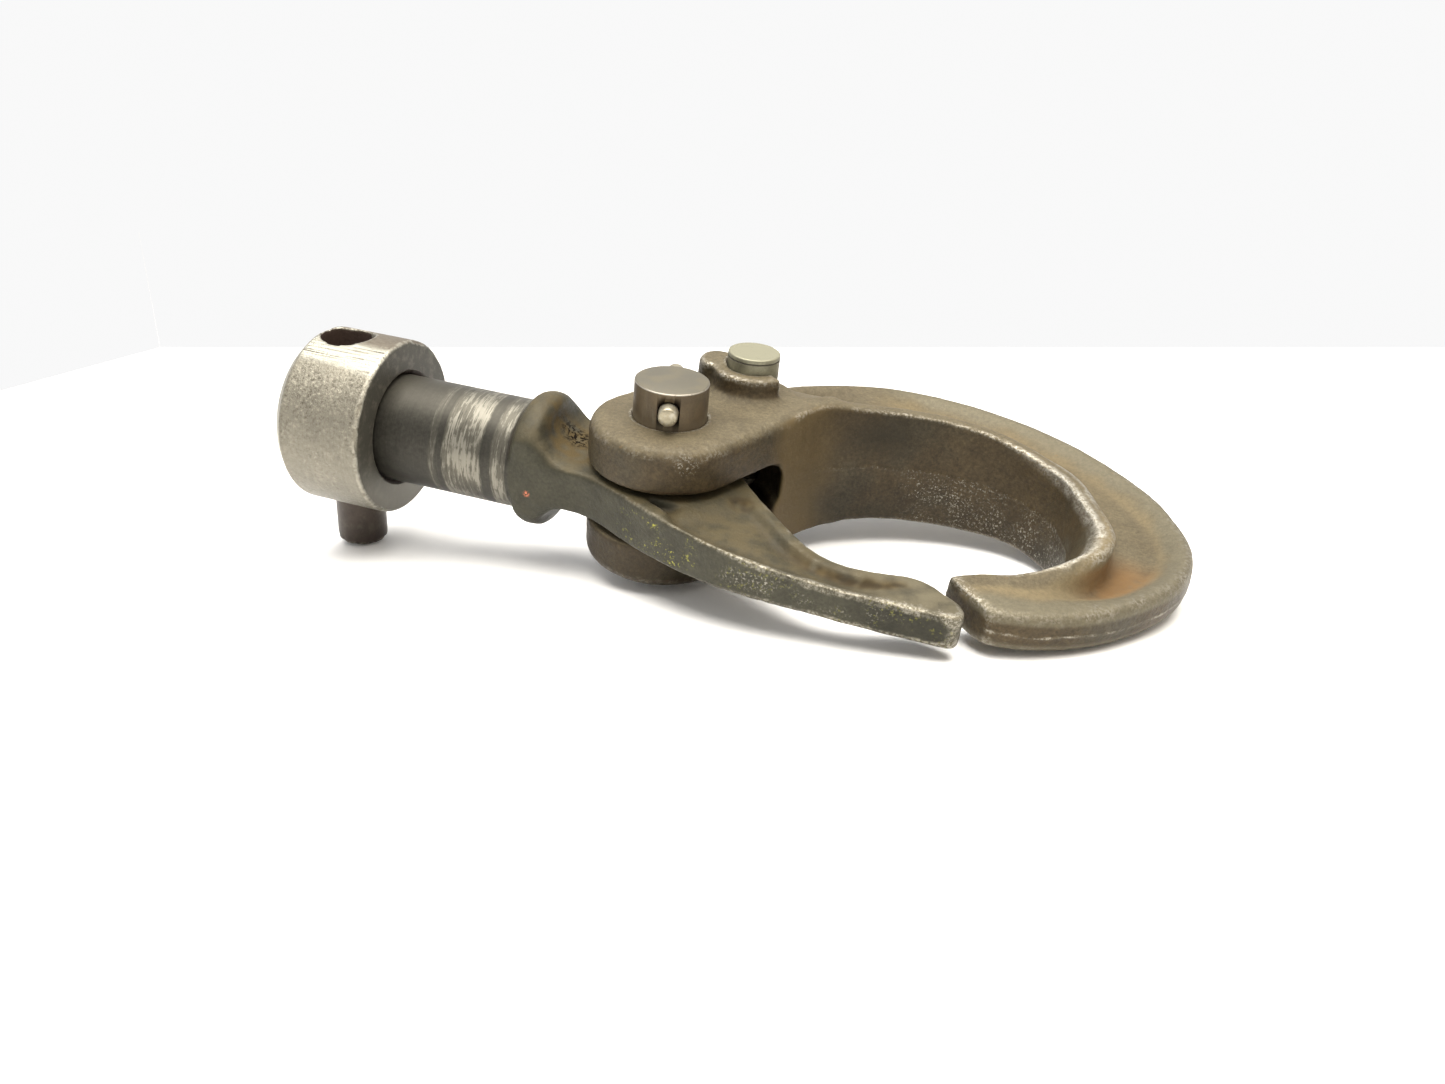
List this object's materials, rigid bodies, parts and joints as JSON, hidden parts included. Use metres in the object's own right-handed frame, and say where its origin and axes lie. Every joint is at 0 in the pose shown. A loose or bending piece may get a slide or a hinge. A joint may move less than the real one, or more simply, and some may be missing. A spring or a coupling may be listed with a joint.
{
  "type": "swivel shank hook",
  "caption": "Hinged self-locking hoist hook on a round swivel shank with a pinned collar; the bowl opens away from a fixed gate finger when the push-button lock is pressed.",
  "frame": {"origin": "on the shank axis at the collar's thrust face, the face the hook hangs by", "axes": "+X along the shank axis from the collar to the bowl, +Y towards the spine of the bowl, +Z along the load pin towards the push button"},
  "size_m": [0.2765, 0.1437, 0.0798],
  "materials": {
    "gate_forging": "dark drop-forged steel, worn bright on the shank",
    "bowl_forging": "dark drop-forged steel with dust and light rust",
    "load_pin": "turned steel, dulled grey",
    "small_pin": "pale steel",
    "button": "pale worn steel",
    "spring": "spring steel",
    "ring": "blackened spring steel",
    "collar": "machined steel, finely pitted",
    "dark_pin": "dark brown steel with hammered end"
  },
  "bodies": {
    "shank": {"shank_gate_forging": "gate_forging", "shank_collar": "collar", "collar_cross_pin": "dark_pin"},
    "hook": {"hook_bowl": "bowl_forging", "lock_plug": "button", "lock_retaining_ring": "ring", "lock_spring": "spring"},
    "load_pin": {"pivot_pin": "load_pin", "pivot_cross_pin": "small_pin"},
    "lock": {"lock_pin": "button"}
  },
  "joints": [
    {"name": "hook_open", "type": "hinge", "parent": "shank", "child": "hook", "pos_m": [0.0893, 0, 0], "axis": [0, 0, 1], "range_deg": [0, 45]},
    {"name": "load_pin_turn", "type": "hinge", "parent": "hook", "child": "load_pin", "pos_m": [0.0893, 0, 0], "axis": [0, 0, 1], "continuous": true},
    {"name": "lock_press", "type": "slide", "parent": "hook", "child": "lock", "axis": [0, 0, -1], "range_m": [0, 0.0081], "deforming": ["lock_spring"]}
  ],
  "couplings": [
    {"joint": "lock_press", "follows": "hook_open", "m_per_rad": 0.010186}
  ]
}
